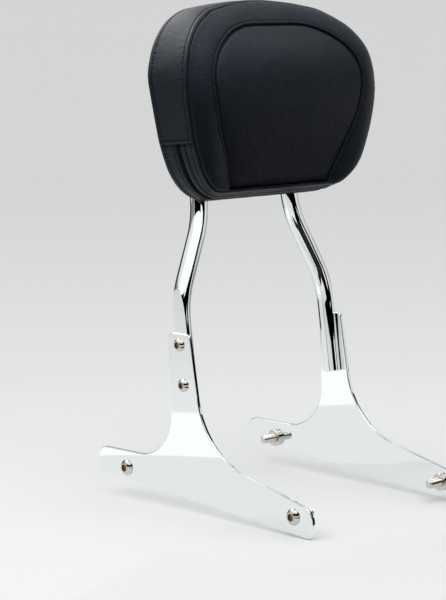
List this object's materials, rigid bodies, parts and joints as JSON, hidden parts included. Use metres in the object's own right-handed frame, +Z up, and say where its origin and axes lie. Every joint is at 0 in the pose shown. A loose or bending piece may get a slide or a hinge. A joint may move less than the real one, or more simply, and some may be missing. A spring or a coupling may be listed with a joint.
{
  "type": "sissy bar",
  "caption": "Motorbike passenger backrest: a bent round upright bolted between two flat side plates, with a stitched vinyl pad.",
  "frame": {"origin": "midway between the two front strut bolts, on the part's plane of symmetry", "axes": "+X to the motorbike's left, -Y forwards to the rider, +Z up"},
  "size_m": [0.2874, 0.3213, 0.5413],
  "materials": {
    "chrome_plate": "bright chrome-plated steel",
    "polished_steel": "polished steel",
    "zinc_steel": "zinc-plated steel",
    "pad_vinyl": "black grained vinyl over foam",
    "pad_panel": "black moulded plastic",
    "pad_board": "plywood"
  },
  "bodies": {
    "root": {"upright_hoop": "chrome_plate", "side_plate_right": "chrome_plate", "side_plate_left": "chrome_plate", "upper_screw_right": "polished_steel", "lower_screw_right": "polished_steel", "upper_screw_left": "polished_steel", "lower_screw_left": "polished_steel", "front_bolt_right": "polished_steel", "rear_bolt_right": "polished_steel", "front_bolt_left": "polished_steel", "rear_bolt_left": "polished_steel", "front_spacer_right": "polished_steel", "rear_spacer_right": "polished_steel", "front_spacer_left": "polished_steel", "rear_spacer_left": "polished_steel", "pad_strap": "chrome_plate", "pad_panel": "pad_panel", "pad_board": "pad_board", "pad_cushion": "pad_vinyl", "pad_screw_low_right": "polished_steel", "pad_screw_low_left": "polished_steel", "pad_screw_top_right": "polished_steel", "pad_screw_top_left": "polished_steel", "pad_washer_low_right": "zinc_steel", "pad_washer_low_left": "zinc_steel", "pad_washer_top_right": "zinc_steel", "pad_washer_top_left": "zinc_steel", "pad_nut_low_right": "zinc_steel", "pad_nut_low_left": "zinc_steel", "pad_nut_top_right": "zinc_steel", "pad_nut_top_left": "zinc_steel"}
  },
  "joints": []
}
